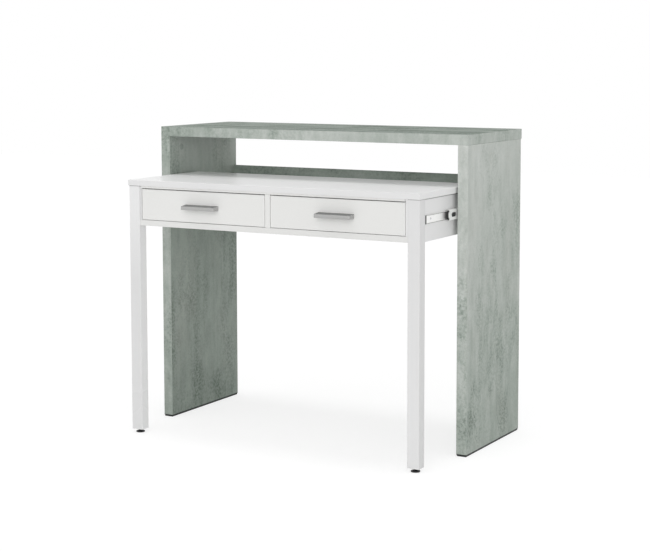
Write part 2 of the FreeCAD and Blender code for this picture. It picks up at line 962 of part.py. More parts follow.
def single_nodes():
    """Pieces that are alone, and groups of like fasteners."""
    outer_screws = []
    inner_screws = []
    for y in slide_screw_places(slide_front, slide_rear):
        outer_screws.append(slide_screw(Vector(outer_web_x, y, slide_middle_z), Vector(1, 0, 0)))
        inner_place = Vector(inner_web_x, y - rest_pull, slide_middle_z)
        inner_screws.append(slide_screw(inner_place, Vector(-1, 0, 0)))
    rail_dowels = [dowel(place, Vector(1, 0, 0)) for place in rail_dowel_places()]
    leg_dowels = [dowel(place, Vector(0, 1, 0)) for place in leg_dowel_places()]
    return {
        "console_top": [console_top()],
        "rear_rail": [rear_rail()],
        "rear_rail_dowels": both_sides(rail_dowels),
        "console_cam_locks": both_sides([cam_lock(*cam) for cam in console_cams()]),
        "console_cam_bolts": both_sides([cam_bolt_rod(*cam) for cam in console_cams()]),
        "console_cam_caps": both_sides([cam_cap(*cam) for cam in console_cams()]),
        "slide_outer_screws": both_sides(outer_screws),
        "slide_inner_screws": both_sides(inner_screws),
        "desktop": [desktop()],
        "desk_bottom_board": [bottom_board()],
        "desk_back_board": [back_board()],
        "upper_front_rail": [upper_rail()],
        "centre_divider": [divider()],
        "drawer_runner_channels": both_sides(runner_pair(runner_channel())),
        "leg_dowels": both_sides(leg_dowels),
        "desk_cam_locks": both_sides([cam_lock(*cam) for cam in desk_cams()]),
        "desk_cam_bolts": both_sides([cam_bolt_rod(*cam) for cam in desk_cams()]),
        "leg_thread_inserts": both_sides([thread_insert()]),
    }


def write_node(name, solids):
    """One STEP file, placed from the floor at the middle of the footprint."""
    moved = [solid.translated(-origin) for solid in solids]
    shape = moved[0] if len(moved) == 1 else Part.makeCompound(moved)
    shape.exportStep("parts/" + name + ".step")


os.makedirs("parts", exist_ok=True)
for piece_name, piece_solids in handed_nodes().items():
    write_node("right_" + piece_name, piece_solids)
    write_node("left_" + piece_name, [mirrored(solid) for solid in piece_solids])
for piece_name, piece_solids in single_nodes().items():
    write_node(piece_name, piece_solids)
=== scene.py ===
"""Looks of the extendable desk: finishes, softened edges, turned fittings, floor, light and camera."""

import math

import bmesh
import bpy
from mathutils import Matrix, Vector


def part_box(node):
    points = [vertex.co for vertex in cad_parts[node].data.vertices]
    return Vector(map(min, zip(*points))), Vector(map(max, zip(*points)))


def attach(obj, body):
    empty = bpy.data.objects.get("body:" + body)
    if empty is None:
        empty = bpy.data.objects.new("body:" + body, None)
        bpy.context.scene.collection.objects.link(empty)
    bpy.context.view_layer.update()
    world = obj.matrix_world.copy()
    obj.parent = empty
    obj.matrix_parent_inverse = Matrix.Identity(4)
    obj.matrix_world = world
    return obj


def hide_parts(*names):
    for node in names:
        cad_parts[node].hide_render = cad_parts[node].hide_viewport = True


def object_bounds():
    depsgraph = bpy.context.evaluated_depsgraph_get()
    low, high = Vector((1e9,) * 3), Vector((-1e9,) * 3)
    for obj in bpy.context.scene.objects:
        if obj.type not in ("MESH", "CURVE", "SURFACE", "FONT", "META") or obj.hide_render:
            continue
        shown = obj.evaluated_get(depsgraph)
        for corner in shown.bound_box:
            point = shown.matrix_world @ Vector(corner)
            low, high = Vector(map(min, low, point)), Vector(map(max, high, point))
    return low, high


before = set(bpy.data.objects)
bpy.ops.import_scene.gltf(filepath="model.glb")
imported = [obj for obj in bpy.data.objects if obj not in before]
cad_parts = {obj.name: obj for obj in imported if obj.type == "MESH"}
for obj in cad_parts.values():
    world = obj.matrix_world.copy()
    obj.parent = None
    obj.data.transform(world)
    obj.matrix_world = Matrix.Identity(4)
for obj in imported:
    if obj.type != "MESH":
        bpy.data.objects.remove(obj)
cad_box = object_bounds()

MM = 0.001
SIDES = ("left", "right")
X, Y, Z = range(3)


def between(box, axis, shares):
    """Places in metres at shares of the way along a box, from its low side."""
    low, high = box[0][axis], box[1][axis]
    return [low + share * (high - low) for share in shares]


def srgb(red, green, blue):
    """A linear colour from screen values between 0 and 255."""
    linear = []
    for value in (red, green, blue):
        share = value / 255
        linear.append(share / 12.92 if share <= 0.04045 else ((share + 0.055) / 1.055) ** 2.4)
    return (*linear, 1.0)


def grey(value):
    """A neutral colour from one screen value."""
    return srgb(value, value, value)


# Materials


# Most of a noise texture lies in the middle range; the narrow one sharpens it and the wide one softens it
MIDDLE_RANGE = (0.3, 0.7)
NARROW_RANGE = (0.35, 0.65)
WIDE_RANGE = (0.2, 0.8)


class Finish:
    """A node material whose textures lie in the object's own coordinates, in metres."""

    def __init__(self, name):
        self.material = bpy.data.materials.new(name)
        self.material.use_nodes = True
        self.nodes = self.material.node_tree.nodes
        self.links = self.material.node_tree.links
        self.shader = self.nodes["Principled BSDF"]
        self.coordinates = self.nodes.new("ShaderNodeTexCoord")

    def set(self, node, name, value):
        """Sets an input, or links it where the value is another node's output."""
        if isinstance(value, bpy.types.NodeSocket):
            self.links.new(value, node.inputs[name])
        else:
            node.inputs[name].default_value = value

    def noise(self, stretch, scale, detail=3.0, roughness=0.5, distortion=0.0, offset=(0, 0, 0)):
        """Smooth noise around 0.5; a stretch under 1 along an axis draws the pattern out along it."""
        mapping = self.nodes.new("ShaderNodeMapping")
        self.set(mapping, "Vector", self.coordinates.outputs["Object"])
        self.set(mapping, "Scale", stretch)
        self.set(mapping, "Location", offset)
        texture = self.nodes.new("ShaderNodeTexNoise")
        self.set(texture, "Vector", mapping.outputs["Vector"])
        self.set(texture, "Scale", scale)
        self.set(texture, "Detail", detail)
        self.set(texture, "Roughness", roughness)
        self.set(texture, "Distortion", distortion)
        return texture.outputs["Fac"]

    def spread(self, value, low, high, to_low=0.0, to_high=1.0):
        """A value's range from low to high, drawn out to another range and held there."""
        node = self.nodes.new("ShaderNodeMapRange")
        self.set(node, "Value", value)
        self.set(node, "From Min", low)
        self.set(node, "From Max", high)
        self.set(node, "To Min", to_low)
        self.set(node, "To Max", to_high)
        return node.outputs["Result"]

    def swing(self, noise):
        """Noise drawn out to about -1 to 1."""
        return self.spread(noise, *MIDDLE_RANGE, -1.0, 1.0)

    def math(self, operation, *values):
        """One sum or comparison of values."""
        node = self.nodes.new("ShaderNodeMath")
        node.operation = operation
        for index, value in enumerate(values):
            self.set(node, index, value)
        return node.outputs["Value"]

    def weighed(self, parts, base=0.0):
        """A base value plus each texture times its weight."""
        total = base
        for texture, weight in parts:
            total = self.math("MULTIPLY_ADD", texture, weight, total)
        return total

    def ramp(self, value, stops):
        """Colours at places from 0 to 1."""
        node = self.nodes.new("ShaderNodeValToRGB")
        self.set(node, "Fac", value)
        elements = node.color_ramp.elements
        while len(elements) < len(stops):
            elements.new(0.5)
        for element, (place, colour) in zip(elements, stops):
            element.position = place
            element.color = colour
        return node.outputs["Color"]

    def blend(self, factor, first, second):
        """From the first colour to the second."""
        node = self.nodes.new("ShaderNodeMix")
        node.data_type = "RGBA"
        for name, value in (("Factor_Float", factor), ("A_Color", first), ("B_Color", second)):
            socket = next(s for s in node.inputs if s.identifier == name)
            if isinstance(value, bpy.types.NodeSocket):
                self.links.new(value, socket)
            else:
                socket.default_value = value
        return next(s for s in node.outputs if s.identifier == "Result_Color")

    def place(self):
        """The point's own X, Y and Z."""
        split = self.nodes.new("ShaderNodeSeparateXYZ")
        self.set(split, "Vector", self.coordinates.outputs["Object"])
        return split.outputs

    def normal(self):
        """The X, Y and Z of the way that the face looks."""
        split = self.nodes.new("ShaderNodeSeparateXYZ")
        self.set(split, "Vector", self.coordinates.outputs["Normal"])
        return split.outputs

    def facing(self, axis):
        """How squarely a face looks along an axis, either way, from 0 to 1."""
        return self.math("ABSOLUTE", self.normal()[axis])

    def colour(self, value):
        """The surface's own colour."""
        self.set(self.shader, "Base Color", value)

    def gloss(self, roughness, metallic=0.0, specular=0.5):
        """How the surface shines."""
        self.set(self.shader, "Roughness", roughness)
        self.set(self.shader, "Metallic", metallic)
        self.set(self.shader, "Specular IOR Level", specular)

    def bump(self, height, depth):
        """Surface relief of that depth in metres."""
        node = self.nodes.new("ShaderNodeBump")
        self.set(node, "Height", height)
        self.set(node, "Distance", depth)
        self.set(self.shader, "Normal", node.outputs["Normal"])


# Which way a texture is drawn out
EVEN = (1.0, 1.0, 1.0)
ALONG_X = (0.12, 1.0, 1.0)
ALONG_Y = (1.0, 0.12, 1.0)
FIBRE_STRETCH = (1.0, 0.3, 1.0)

# Colours of the concrete print, from dark to light, and a warm grey that shows through in places
PRINT_DARK = srgb(97, 109, 99)
PRINT_MIDDLE = srgb(159, 168, 160)
PRINT_LIGHT = srgb(214, 217, 213)
PRINT_COLOURS = [(0.0, PRINT_DARK), (0.45, PRINT_MIDDLE), (1.0, PRINT_LIGHT)]
WARM_GREY = srgb(180, 178, 172)
WARM_SHARE = 0.15
WARM_RANGE = (0.5, 0.75)

# Shine of the print, rougher where it is dark, and its relief
PRINT_SWING = (-0.25, 0.25)
PRINT_ROUGHNESS = (0.68, 0.54)
PRINT_RELIEF = 0.4 * MM

# Which way the print is drawn out on each board, and where in the noise it starts
UPRIGHT_STRETCH = (1.0, 1.0, 0.45)
LEVEL_STRETCH = (0.3, 1.0, 1.0)
EDGE_STRETCH = (1.0, 1.0, 0.55)
FACE_SEED = 11.8
EDGE_SEED = 7.7

# Where in their noise the specks and smears lie, and how much the specks thicken a smear
SPECK_RANGE = (0.42, 0.62)
SMEAR_RANGE = (0.48, 0.64)
THICKENING = (0.3, 1.15)

# How much each layer lightens or darkens the print, and how strong the fine ones are on some boards
LARGE_BASE = 0.14
CLOUD_WEIGHT = 0.08
STAIN_WEIGHT = -0.34
PATCH_WEIGHT = 0.12
STREAK_WEIGHT = 0.06
SPECK_WEIGHT = -0.07
GRIT_WEIGHT = 0.07
UPRIGHT_GRAIN = 0.75
TOP_GRAIN = 1.3
TOP_EDGE_GRAIN = 1.2

# How light the boards are, and how strong the whole print is on them
BOARD_TONE = 0.43
TOP_TONE = 0.08
RAIL_TONE = 0.30
LEFT_CONTRAST = 0.7
RIGHT_CONTRAST = (0.75, 1.05)
TOP_EDGE_CONTRAST = 0.65

# Slow changes of tone over the boards. The darkening towards the foot is partly print and partly painted
# shade; the left tones on the left board's inward face are painted shade inside the console, lighter above
# the desktop than below it
RIGHT_LIFT = 0.235
RIGHT_FOOT = -0.24
RIGHT_REAR = -0.05
RIGHT_REAR_FOOT = -0.08
TOP_END = -0.10
LEFT_INSIDE_SHADE = {"head": 0.14, "body": -0.15, "foot": -0.06}
LEFT_EDGE = {"head": 0.0, "body": 0.09, "foot": -0.24}

# Places between which those changes come on
LIFT_PLACES = between(cad_box, X, (0.033, 0.5))
END_PLACES = between(cad_box, X, (0.551, 0.855))
REAR_PLACES = between(cad_box, Y, (0.601, 1.075))
FALL_PLACES = between(cad_box, Z, (0.928, 0.116))
HEAD_PLACES = between(cad_box, Z, (0.719, 0.928))
CALM_PLACES = between(cad_box, Z, (0.951, 0.522))
FOOT_PLACES = between(cad_box, Z, (0.487, 0.023))

# How squarely a face looks along an axis where one look gives way to another
PRINT_TURN = (0.6, 0.8)
INWARD_TURN = (0.0, 0.5)
LACQUER_TURN = (0.5, 0.8)
PULL_TURN = (0.8, 0.99)
HARDBOARD_TURN = (0.4, 0.6)

# Painted shade: a dark line along the foot of the upright boards, which widens the line of the dark base
# strip under them
FOOT_SHADE_GREY = srgb(46, 49, 46)
FOOT_SHADE_HEIGHT = 2.3 * MM
FOOT_BLUR = 0.4 * MM


def print_pattern(finish, stretch, seed, grain=1.0):
    """Light and dark of the print around zero: clouds, streaks, and smears that are thick with specks.

    The grain is how strong the fine detail is beside the clouds and smears.
    """
    offset = (seed, seed, seed)
    streak_stretch = [share ** 3 for share in stretch]
    clouds = finish.noise(stretch, 4.5, detail=4.0, distortion=0.2, offset=offset)
    patches = finish.noise(stretch, 28.0, detail=6.0, roughness=0.62, distortion=0.15, offset=offset)
    streaks = finish.noise(streak_stretch, 60.0, offset=offset)
    grit = finish.noise(EVEN, 420.0, detail=2.0, roughness=0.6, offset=offset)
    dots = finish.noise(EVEN, 130.0, roughness=0.6, distortion=0.3, offset=offset)
    wipes = finish.noise(stretch, 9.0, detail=7.0, roughness=0.62, distortion=0.1, offset=offset)
    specks = finish.spread(dots, *SPECK_RANGE)
    smears = finish.spread(wipes, *SMEAR_RANGE)
    stains = finish.math("MULTIPLY", smears, finish.spread(specks, 0.0, 1.0, *THICKENING))
    large = finish.weighed([(finish.swing(clouds), CLOUD_WEIGHT), (stains, STAIN_WEIGHT)], base=LARGE_BASE)
    fine = finish.weighed(
        [
            (finish.swing(patches), PATCH_WEIGHT),
            (finish.swing(streaks), STREAK_WEIGHT),
            (specks, SPECK_WEIGHT),
            (finish.swing(grit), GRIT_WEIGHT),
        ]
    )
    return finish.math("MULTIPLY_ADD", fine, grain, large)


def drifting_tone(finish, left, end=0.0, left_inside=False):
    """How light a board is: lighter to the right, and darker there towards the foot, the rear and the end.

    The left tones may be for faces that look inwards alone, where they are painted shade inside the console.
    The darkening towards the foot is partly print and partly painted shade.
    """
    place = finish.place()
    fall = finish.spread(place["Z"], *FALL_PLACES)
    rear = finish.spread(place["Y"], *REAR_PLACES)
    rear_fall = finish.math("MULTIPLY", rear, fall)
    right_tone = finish.weighed(
        [(fall, RIGHT_FOOT), (rear, RIGHT_REAR), (rear_fall, RIGHT_REAR_FOOT)], base=RIGHT_LIFT
    )
    leftness = finish.spread(place["X"], *LIFT_PLACES, 1.0, 0.0)
    # On inward faces the left tones are painted shade inside the console
    if left_inside:
        leftness = finish.math("MULTIPLY", leftness, finish.spread(finish.normal()["X"], *INWARD_TURN))
    rightness = finish.math("SUBTRACT", 1.0, leftness)
    head = finish.spread(place["Z"], *HEAD_PLACES, left["body"], left["head"])
    left_tone = finish.math("ADD", head, finish.spread(place["Z"], *FOOT_PLACES, 0.0, left["foot"]))
    end_share = finish.spread(place["X"], *END_PLACES)
    parts = [(rightness, right_tone), (leftness, left_tone), (end_share, end)]
    return finish.weighed(parts, base=BOARD_TONE)


def upright_contrast(finish):
    """How strong the print is on the upright boards: even on the left, and calm at the head on the right."""
    place = finish.place()
    right_contrast = finish.spread(place["Z"], *CALM_PLACES, *RIGHT_CONTRAST)
    return finish.spread(place["X"], *LIFT_PLACES, LEFT_CONTRAST, right_contrast)


def painted_foot_shade(finish):
    """The painted shade along the foot of the upright boards, from 0 to 1."""
    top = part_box("left_side_panel")[0][Z] + FOOT_SHADE_HEIGHT
    return finish.spread(finish.place()["Z"], top, top - FOOT_BLUR)


def concrete_board(
    name, face_axis, stretch, face_tone=None, end=0.0, edge_contrast=1.0, grain=1.0, edge_grain=1.0
):
    """Board with a concrete print on its faces and on the edge band round them.

    A board with no face tone of its own is an upright one, whose tone drifts and which has painted shade
    along its foot.
    """
    finish = Finish(name)
    upright = face_tone is None
    tone = drifting_tone(finish, LEFT_INSIDE_SHADE, left_inside=True) if upright else face_tone
    contrast = upright_contrast(finish) if upright else 1.0
    pattern = print_pattern(finish, stretch, FACE_SEED, grain)
    face = finish.ramp(finish.math("MULTIPLY_ADD", pattern, contrast, tone), PRINT_COLOURS)
    edge_tone = drifting_tone(finish, LEFT_EDGE, end)
    edge_pattern = print_pattern(finish, EDGE_STRETCH, EDGE_SEED, edge_grain)
    edge = finish.ramp(finish.math("MULTIPLY_ADD", edge_pattern, edge_contrast, edge_tone), PRINT_COLOURS)
    printed = finish.blend(finish.spread(finish.facing(face_axis), *PRINT_TURN), edge, face)
    if upright:
        warmth = finish.spread(finish.noise(stretch, 12.0), *WARM_RANGE, 0.0, WARM_SHARE)
        printed = finish.blend(warmth, printed, WARM_GREY)
        # Painted shade along the foot of the board
        printed = finish.blend(painted_foot_shade(finish), printed, FOOT_SHADE_GREY)
    finish.colour(printed)
    finish.gloss(finish.spread(pattern, *PRINT_SWING, *PRINT_ROUGHNESS), specular=0.2)
    finish.bump(pattern, PRINT_RELIEF)
    return finish.material


# Painted shade: a fine grey line at the head of what carries the desktop, for the shade in the joint under
# it, and on the aprons for the shadow under the desktop's overhang
JOINT_SHADE_GREY = srgb(158, 158, 157)
JOINT_BLUR = 0.3 * MM
LEG_JOINT_SHADE = 1.8 * MM
APRON_OVERHANG_SHADOW = 3.6 * MM


def joint_shade_line(finish, height, axis):
    """The painted shade line at the head of a piece, from 0 to 1, on all its faces or those along one axis.
    """
    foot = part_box("left_leg")[1][Z] - height
    line = finish.spread(finish.place()["Z"], foot - JOINT_BLUR, foot + JOINT_BLUR)
    if axis is None:
        return line
    return finish.math("MULTIPLY", line, finish.facing(axis))


def white_lacquer(
    name, dark, light, specular=0.35, along=None, own_face=None, joint=None, joint_axis=None
):
    """Satin white lacquer with a faint orange peel.

    It drifts from dark to light by chance or along an axis between two places. One way of facing may have a
    white of its own, and the head of the piece a painted shade line along the joint under the desktop.
    """
    finish = Finish(name)
    drift = finish.noise(EVEN, 3.0, detail=1.0)
    peel = finish.noise(EVEN, 900.0, detail=2.0)
    share = finish.spread(drift, *WIDE_RANGE)
    if along is not None:
        axis, start, stop = along
        share = finish.spread(finish.place()[axis], start, stop)
    white = finish.blend(share, dark, light)
    if own_face is not None:
        axis, own_white = own_face
        white = finish.blend(finish.spread(finish.facing(axis), *LACQUER_TURN), white, own_white)
    if joint is not None:
        # Painted shade along the joint under the desktop
        white = finish.blend(joint_shade_line(finish, joint, joint_axis), white, JOINT_SHADE_GREY)
    finish.colour(white)
    finish.gloss(finish.spread(drift, *WIDE_RANGE, 0.26, 0.34), specular=specular)
    finish.bump(peel, 0.02 * MM)
    return finish.material


def white_melamine(name):
    """White coated chipboard with a fine pearl grain."""
    finish = Finish(name)
    drift = finish.noise(EVEN, 8.0)
    pearl = finish.noise(EVEN, 1400.0, detail=2.0)
    share = finish.spread(drift, *NARROW_RANGE)
    finish.colour(finish.blend(share, srgb(229, 229, 226), srgb(236, 236, 234)))
    finish.gloss(finish.spread(drift, *MIDDLE_RANGE, 0.42, 0.5), specular=0.4)
    finish.bump(pearl, 0.04 * MM)
    return finish.material


def hardboard(name):
    """Thin hardboard: white above, brown and fibrous below."""
    finish = Finish(name)
    fibres = finish.noise(FIBRE_STRETCH, 320.0, detail=4.0, roughness=0.65, distortion=1.2)
    drift = finish.noise(EVEN, 14.0)
    white = finish.blend(drift, srgb(226, 226, 222), srgb(236, 236, 233))
    browns = [(0.3, srgb(104, 74, 48)), (0.55, srgb(146, 110, 76)), (0.75, srgb(176, 142, 104))]
    upwards_share = finish.spread(finish.normal()["Z"], *HARDBOARD_TURN)
    finish.colour(finish.blend(upwards_share, finish.ramp(fibres, browns), white))
    finish.gloss(finish.spread(fibres, *MIDDLE_RANGE, 0.5, 0.7), specular=0.35)
    finish.bump(fibres, 0.1 * MM)
    return finish.material


# Fine drawn lines of the metals, and slower changes over them
LINE_SCALE = 1500.0
PULL_LINE_SCALE = 1200.0
METAL_DRIFT = 40.0


def brushed_metal(name, stretch, dark, light, roughness, depth, metallic=1.0):
    """Metal with fine drawn lines along one axis, and a roughness that drifts between two values."""
    finish = Finish(name)
    lines = finish.noise(stretch, LINE_SCALE, roughness=0.6)
    drift = finish.noise(EVEN, METAL_DRIFT)
    both = finish.weighed([(lines, 0.6), (drift, 0.4)])
    finish.colour(finish.blend(finish.spread(both, *NARROW_RANGE), dark, light))
    finish.gloss(finish.spread(drift, *MIDDLE_RANGE, *roughness), metallic=metallic)
    finish.bump(lines, depth)
    return finish.material


def pull_metal_with_dark_reflection(name):
    """Satin metal of the pulls: light all round, with a painted dark reflection on its top."""
    finish = Finish(name)
    lines = finish.noise(ALONG_X, PULL_LINE_SCALE, roughness=0.6)
    drift = finish.noise(EVEN, METAL_DRIFT)
    share = finish.spread(lines, *NARROW_RANGE)
    light = finish.blend(share, srgb(172, 172, 171), srgb(182, 182, 181))
    dark = finish.blend(share, srgb(104, 105, 104), srgb(116, 117, 116))
    # Painted dark reflection on the top faces
    finish.colour(finish.blend(finish.spread(finish.normal()["Z"], *PULL_TURN), light, dark))
    finish.gloss(finish.spread(drift, *MIDDLE_RANGE, 0.36, 0.46), metallic=0.35, specular=0.3)
    finish.bump(lines, 0.01 * MM)
    return finish.material


# Zinc plate of the slides, and the cut edges of its flanges, darker partly as raw steel and partly as
# painted shade along the flanges
ZINC_DARK = srgb(236, 236, 235)
ZINC_LIGHT = srgb(248, 248, 247)
ZINC_ROUGHNESS = (0.4, 0.52)
ZINC_METALLIC = 0.55
ZINC_DEPTH = 0.01 * MM
CUT_EDGE_AND_SHADE_GREY = srgb(150, 150, 149)
CUT_REACH = 0.3 * MM
CUT_BLUR = 0.1 * MM


def edged_zinc(name, node_name):
    """Zinc plate of a slide's inner member, with darker cut edges of its flanges: partly raw steel, partly
    painted shade.
    """
    finish = Finish(name)
    lines = finish.noise(ALONG_Y, LINE_SCALE, roughness=0.6)
    drift = finish.noise(EVEN, METAL_DRIFT)
    low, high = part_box(node_name)
    cut_start = max(abs(low[X]), abs(high[X])) - CUT_REACH
    # Cut edges: partly raw steel, partly painted shade along the flanges
    cut = finish.spread(finish.math("ABSOLUTE", finish.place()["X"]), cut_start, cut_start + CUT_BLUR)
    plate = finish.blend(finish.spread(lines, *NARROW_RANGE), ZINC_DARK, ZINC_LIGHT)
    finish.colour(finish.blend(cut, plate, CUT_EDGE_AND_SHADE_GREY))
    finish.gloss(finish.spread(drift, *MIDDLE_RANGE, *ZINC_ROUGHNESS), metallic=ZINC_METALLIC)
    finish.bump(lines, ZINC_DEPTH)
    return finish.material


def moulded_plastic(name, dark, light, roughness):
    """Moulded plastic with a fine spark-eroded grain."""
    finish = Finish(name)
    grain = finish.noise(EVEN, 1100.0, roughness=0.6)
    drift = finish.noise(EVEN, 30.0)
    finish.colour(finish.blend(finish.spread(drift, *NARROW_RANGE), dark, light))
    finish.gloss(finish.spread(grain, *MIDDLE_RANGE, *roughness), specular=0.4)
    finish.bump(grain, 0.06 * MM)
    return finish.material


def beech(name):
    """Plain beech with fine flecks."""
    finish = Finish(name)
    grain = finish.noise(EVEN, 360.0, detail=4.0, roughness=0.6, distortion=0.5)
    colours = [(0.3, srgb(168, 128, 86)), (0.6, srgb(205, 168, 122)), (0.8, srgb(220, 188, 146))]
    finish.colour(finish.ramp(grain, colours))
    finish.gloss(finish.spread(grain, *MIDDLE_RANGE, 0.55, 0.7), specular=0.3)
    finish.bump(grain, 0.08 * MM)
    return finish.material


# Finishes by the record's material slots

FINISHES = {
    "concrete_board": concrete_board("concrete_upright", "X", UPRIGHT_STRETCH, grain=UPRIGHT_GRAIN),
    "white_board": white_lacquer("white_lacquer", grey(229), grey(234)),
    "drawer_board": white_melamine("white_melamine"),
    "hardboard": hardboard("drawer_hardboard"),
    "dowel_wood": beech("beech"),
    "zinc_steel": brushed_metal(
        "zinc_plate", ALONG_Y, ZINC_DARK, ZINC_LIGHT, ZINC_ROUGHNESS, ZINC_DEPTH, ZINC_METALLIC
    ),
    "ball_steel": brushed_metal(
        "polished_steel", EVEN, srgb(205, 206, 208), srgb(222, 223, 225), (0.06, 0.12), 0.002 * MM
    ),
    "fitting_steel": brushed_metal(
        "fitting_plate", EVEN, srgb(176, 178, 180), srgb(206, 207, 209), (0.28, 0.42), 0.01 * MM
    ),
    "handle_metal": pull_metal_with_dark_reflection("satin_grey"),
    "black_plastic": moulded_plastic("black_moulded", srgb(22, 22, 23), srgb(34, 34, 35), (0.42, 0.58)),
    "base_plastic": moulded_plastic("base_moulded", srgb(22, 24, 23), srgb(30, 32, 31), (0.5, 0.65)),
    "cap_plastic": moulded_plastic("cap_moulded", srgb(150, 158, 151), srgb(164, 171, 165), (0.5, 0.62)),
}

# Finishes of single pieces. The whites are lighter and darker copies of one lacquer: painted light and shade
# for how light falls on each piece

level_print = concrete_board(
    "concrete_level",
    "Z",
    LEVEL_STRETCH,
    face_tone=TOP_TONE,
    end=TOP_END,
    edge_contrast=TOP_EDGE_CONTRAST,
    grain=TOP_GRAIN,
    edge_grain=TOP_EDGE_GRAIN,
)
rail_print = concrete_board("concrete_rail", "Y", LEVEL_STRETCH, face_tone=RAIL_TONE)
# Painted light: the desktop is lighter towards the left, and lighter on its top and ends than on its front
# and back edges, standing in for the reflection on its top
desktop_painted_light = white_lacquer(
    "desktop_lacquer",
    grey(238),
    grey(249),
    specular=0.05,
    along=("X", *between(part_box("desktop"), X, (0.96, 0.04))),
    own_face=("Y", grey(232)),
)
drawer_white = white_lacquer("drawer_lacquer", srgb(232, 232, 230), srgb(237, 237, 235))
rail_white = white_lacquer("rail_lacquer", srgb(228, 228, 226), srgb(233, 233, 231))
# Painted shade: the left apron's front face, the strip beside the left drawer, is darker
left_apron_painted_shade = white_lacquer(
    "left_apron_lacquer",
    grey(232),
    grey(237),
    own_face=("Y", grey(218)),
    joint=APRON_OVERHANG_SHADOW,
    joint_axis="X",
)
right_apron_white = white_lacquer(
    "right_apron_lacquer", grey(232), grey(237), joint=APRON_OVERHANG_SHADOW, joint_axis="X"
)
# Painted shade darker towards the leg's foot, and painted light on its sides
left_leg_painted_light_and_shade = white_lacquer(
    "left_leg_lacquer",
    grey(224),
    grey(236),
    along=("Z", *between(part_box("left_leg"), Z, (0.617, 0.904))),
    own_face=("X", grey(240)),
    joint=LEG_JOINT_SHADE,
)
# Painted shade: the right leg's sides are darker than its front
right_leg_painted_shade = white_lacquer(
    "right_leg_lacquer", grey(226), grey(231), own_face=("X", grey(222)), joint=LEG_JOINT_SHADE
)
# Grey of the slide buffers, which also stands in for the shade in the gap beside the leg
gap_shade_buffer_grey = moulded_plastic("buffer_moulded", srgb(104, 106, 104), srgb(116, 118, 116), (0.45, 0.6))
OWN_FINISH = {
    "console_top": level_print,
    "rear_rail": rail_print,
    "desktop": desktop_painted_light,
    "upper_front_rail": rail_white,
    "desk_bottom_board": rail_white,
    "centre_divider": drawer_white,
    "left_leg": left_leg_painted_light_and_shade,
    "right_leg": right_leg_painted_shade,
    "left_apron": left_apron_painted_shade,
    "right_apron": right_apron_white,
    "left_drawer_front": drawer_white,
    "right_drawer_front": drawer_white,
}
for side in SIDES:
    OWN_FINISH[side + "_slide_inner"] = edged_zinc(side + "_inner_plate", side + "_slide_inner")

for node_name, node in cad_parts.items():
    slot_name = node.material_slots[0].material.name
    node.material_slots[0].material = OWN_FINISH.get(node_name, FINISHES[slot_name])


# Softened edges

BOARD_EDGE = 0.6 * MM
BOX_EDGE = 0.4 * MM
EDGE_STEPS = 2
WELD_REACH = 0.01 * MM
FLAT_ANGLE = math.radians(0.5)
CORNER_ANGLE = math.radians(50)


def soften(node_name, radius):
    """Rounds the sharp edges of a board a little, without changing its own mesh."""
    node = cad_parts[node_name]
    weld = node.modifiers.new("weld", "WELD")
    weld.merge_threshold = WELD_REACH
    flat = node.modifiers.new("flat", "DECIMATE")
    flat.decimate_type = "DISSOLVE"
    flat.angle_limit = FLAT_ANGLE
    bevel = node.modifiers.new("bevel", "BEVEL")
    bevel.width = radius
    bevel.segments = EDGE_STEPS
    bevel.limit_method = "ANGLE"
    bevel.angle_limit = CORNER_ANGLE
    bevel.use_clamp_overlap = True
    node.modifiers.new("normals", "WEIGHTED_NORMAL")


for side in SIDES:
    soften(side + "_apron", BOARD_EDGE)
    soften(side + "_base_strip", BOX_EDGE)
    for board in ("outer_side", "inner_side", "back", "bottom"):
        soften(side + "_drawer_" + board, BOX_EDGE)
for board in ("desk_bottom_board", "desk_back_board", "upper_front_rail", "centre_divider", "rear_rail"):
    soften(board, BOARD_EDGE)


# Round fittings, made again as smooth turned shapes

TURN_STEPS = 32
SMOOTH_ANGLE = math.radians(35)
THREAD_PITCH = 1.25 * MM
THREAD_DEPTH = 0.5 * MM
THREAD_START = 0.4 * MM

# Length of a screw's cross recess as a share of the head's radius, and how much of it is left at its bottom
CROSS_REACH = 0.55
CROSS_TAPER = 0.75


def add_piece(name, mesh, material, body):
    """Makes a smooth new piece that rides on a body."""
    data = bpy.data.meshes.new(name)
    mesh.to_mesh(data)
    mesh.free()
    data.shade_smooth()
    data.set_sharp_from_angle(angle=SMOOTH_ANGLE)
    data.materials.append(material)
    piece = bpy.data.objects.new(name, data)
    bpy.context.scene.collection.objects.link(piece)
    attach(piece, body)
    return piece


def loose_boxes(node_name):
    """The low and high corner of each separate solid in a node."""
    solids = bmesh.new()
    solids.from_mesh(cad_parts[node_name].data)
    bmesh.ops.remove_doubles(solids, verts=solids.verts, dist=WELD_REACH)
    boxes = []
    waiting = set(solids.verts)
    while waiting:
        group = [waiting.pop()]
        for vertex in group:
            joined = {edge.other_vert(vertex) for edge in vertex.link_edges} & waiting
            waiting -= joined
            group.extend(joined)
        low = Vector([min(vertex.co[axis] for vertex in group) for axis in range(3)])
        high = Vector([max(vertex.co[axis] for vertex in group) for axis in range(3)])
        boxes.append((low, high))
    solids.free()
    return boxes


